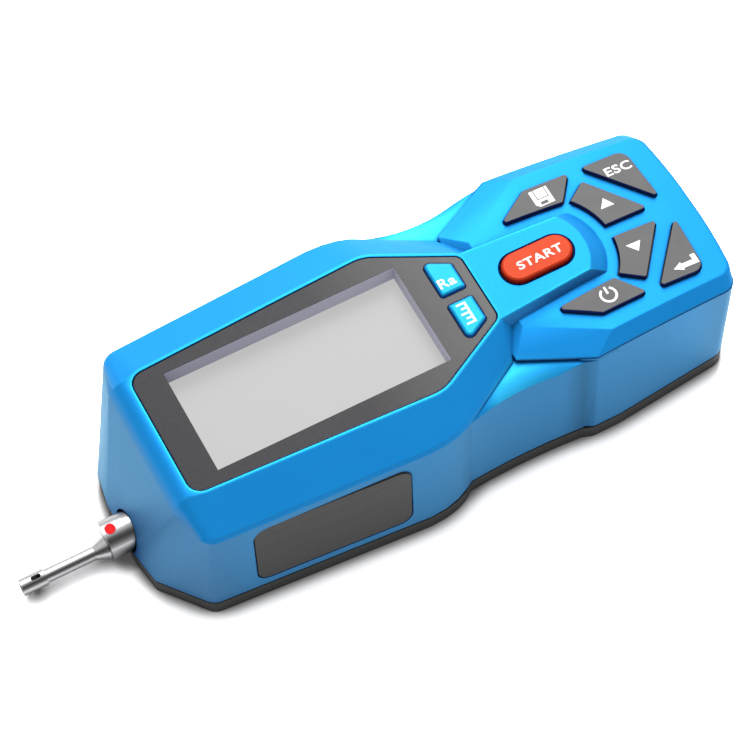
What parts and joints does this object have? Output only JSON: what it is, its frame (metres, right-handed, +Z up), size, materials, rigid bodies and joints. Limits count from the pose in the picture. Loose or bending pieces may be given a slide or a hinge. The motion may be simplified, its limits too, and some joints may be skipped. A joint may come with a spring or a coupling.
{
  "type": "surface roughness tester",
  "caption": "Handheld surface roughness gauge with a sloping nose, recessed display, angled keypad, dark base and a thin stepped steel pickup that a lead screw draws into the nose.",
  "frame": {"origin": "on the flat base face, midway along the case", "axes": "+X from the pickup end to the keypad end, +Y to the side without the nameplate, +Z up"},
  "size_m": [0.1679, 0.0594, 0.0383],
  "materials": {
    "shell_blue": "satin",
    "base_dark": "fine grain",
    "panel_dark": "smooth",
    "display_glass": "satin",
    "plate_dark": "smooth",
    "key_grey": "satin",
    "key_red": "satin",
    "key_cyan": "satin",
    "board_green": "solder resist",
    "part_black": "moulded",
    "battery_wrap": "shrink wrap",
    "frame_metal": "milled",
    "steel": "polished",
    "brass": "turned",
    "dot_red": "enamel",
    "jewel": "polished",
    "diamond": "polished"
  },
  "bodies": {
    "case": {"upper_shell": "shell_blue", "base_tray": "base_dark", "display_panel": "panel_dark", "lcd_glass": "display_glass", "lcd_frame": "part_black", "nameplate": "plate_dark", "key_board": "board_green", "key_switches": "part_black", "main_board": "board_green", "board_screws": "steel", "battery": "battery_wrap", "charge_socket": "steel", "drive_frame": "frame_metal", "guide_rods": "steel", "drive_motor": "steel", "case_screws": "steel", "stand_insert": "brass"},
    "traverse": {"carriage": "frame_metal", "connector_plug": "part_black", "pickup_barrel": "steel", "orientation_dot": "dot_red", "pickup_stem": "steel", "stylus_pivot": "steel", "skid": "jewel"},
    "stylus": {"stylus_lever": "steel", "stylus_tip": "diamond"},
    "screw": {"lead_screw": "steel", "shaft_coupling": "brass"},
    "start_button": {"start_key": "key_red"},
    "save_button": {"save_key": "key_grey"},
    "power_button": {"power_key": "key_grey"},
    "up_arrow_button": {"up_arrow_key": "key_grey"},
    "down_arrow_button": {"down_arrow_key": "key_grey"},
    "escape_button": {"escape_key": "key_grey"},
    "enter_button": {"enter_key": "key_grey"},
    "parameter_button": {"parameter_key": "key_cyan"},
    "trace_button": {"trace_key": "key_cyan"}
  },
  "joints": [
    {"name": "trace_slide", "type": "slide", "parent": "case", "child": "traverse", "axis": [1, 0, 0], "range_m": [0, 0.0175]},
    {"name": "screw_spin", "type": "hinge", "parent": "case", "child": "screw", "pos_m": [-0.04, -0.0019, 0.0142], "axis": [1, 0, 0], "range_deg": [-1, 3151]},
    {"name": "stylus_tilt", "type": "hinge", "parent": "traverse", "child": "stylus", "pos_m": [-0.084, -0.0019, 0.0037], "axis": [0, 1, 0], "range_deg": [-0.5, 1.5], "stiffness_Nm_per_rad": 0.002},
    {"name": "start_press", "type": "slide", "parent": "case", "child": "start_button", "axis": [0, 0, -1], "range_m": [0, 0.0005], "stiffness_N_per_m": 1500},
    {"name": "save_press", "type": "slide", "parent": "case", "child": "save_button", "axis": [0, 0, -1], "range_m": [0, 0.0005], "stiffness_N_per_m": 1500},
    {"name": "power_press", "type": "slide", "parent": "case", "child": "power_button", "axis": [0, 0, -1], "range_m": [0, 0.0005], "stiffness_N_per_m": 1500},
    {"name": "up_arrow_press", "type": "slide", "parent": "case", "child": "up_arrow_button", "axis": [0, 0, -1], "range_m": [0, 0.0005], "stiffness_N_per_m": 1500},
    {"name": "down_arrow_press", "type": "slide", "parent": "case", "child": "down_arrow_button", "axis": [0, 0, -1], "range_m": [0, 0.0005], "stiffness_N_per_m": 1500},
    {"name": "escape_press", "type": "slide", "parent": "case", "child": "escape_button", "axis": [0, 0, -1], "range_m": [0, 0.0005], "stiffness_N_per_m": 1500},
    {"name": "enter_press", "type": "slide", "parent": "case", "child": "enter_button", "axis": [0, 0, -1], "range_m": [0, 0.0005], "stiffness_N_per_m": 1500},
    {"name": "parameter_press", "type": "slide", "parent": "case", "child": "parameter_button", "axis": [0, 0, -1], "range_m": [0, 0.0005], "stiffness_N_per_m": 1500},
    {"name": "trace_press", "type": "slide", "parent": "case", "child": "trace_button", "axis": [0, 0, -1], "range_m": [0, 0.0005], "stiffness_N_per_m": 1500}
  ],
  "couplings": [
    {"joint": "screw_spin", "follows": "trace_slide", "rad_per_m": 3141.6}
  ]
}
